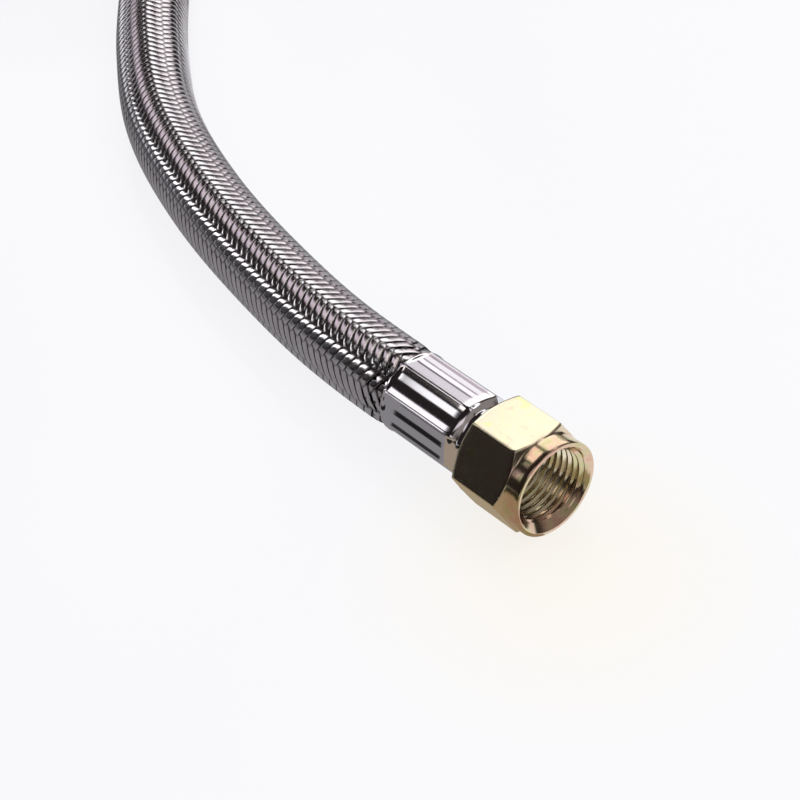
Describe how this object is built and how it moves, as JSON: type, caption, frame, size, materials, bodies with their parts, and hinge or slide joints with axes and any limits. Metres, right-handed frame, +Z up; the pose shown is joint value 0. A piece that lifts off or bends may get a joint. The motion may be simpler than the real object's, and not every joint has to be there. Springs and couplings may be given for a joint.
{
  "type": "braided gas hose",
  "caption": "Flexible gas hose, a rubber tube in a stainless wire braid, with a crimped ferrule and a free-turning hex flare nut on each end; the spare length lies in a tied coil.",
  "frame": {"origin": "on the surface that the hose lies on, under the middle of the near end's fitting (nut, stem and ferrule together)", "axes": "+X along the near fitting and out of its nut's mouth, +Z up; the hose leaves towards -X and its coil lies at -X, +Y"},
  "size_m": [0.4459, 0.1906, 0.0541],
  "materials": {
    "zinc": "steel with a yellow zinc plating, turned",
    "stem": "steel, zinc plated",
    "ferrule": "polished",
    "liner": "black rubber tube",
    "braid": "stainless wire braid",
    "hose": "rubber tube in a stainless wire braid, the braid on the outside",
    "strap": "woven black strap"
  },
  "bodies": {
    "hose": {"tail_stem_a": "stem", "ferrule_a": "ferrule", "liner_end_a": "liner", "braid_end_a": "braid", "hose_run": "hose", "hose_coil": "hose", "hose_tail": "hose", "coil_tie_1": "strap", "coil_tie_2": "strap", "tail_stem_b": "stem", "ferrule_b": "ferrule", "liner_end_b": "liner", "braid_end_b": "braid"},
    "nut_a": {"swivel_nut_a": "zinc"},
    "nut_b": {"swivel_nut_b": "zinc"}
  },
  "joints": [
    {"name": "nut_a_spin", "type": "hinge", "parent": "hose", "child": "nut_a", "pos_m": [0.0108, 0, 0.00953], "axis": [1, 0, 0], "continuous": true},
    {"name": "nut_b_spin", "type": "hinge", "parent": "hose", "child": "nut_b", "pos_m": [-0.37365, 0.1523, 0.0446], "axis": [-1, 0, 0], "continuous": true}
  ]
}
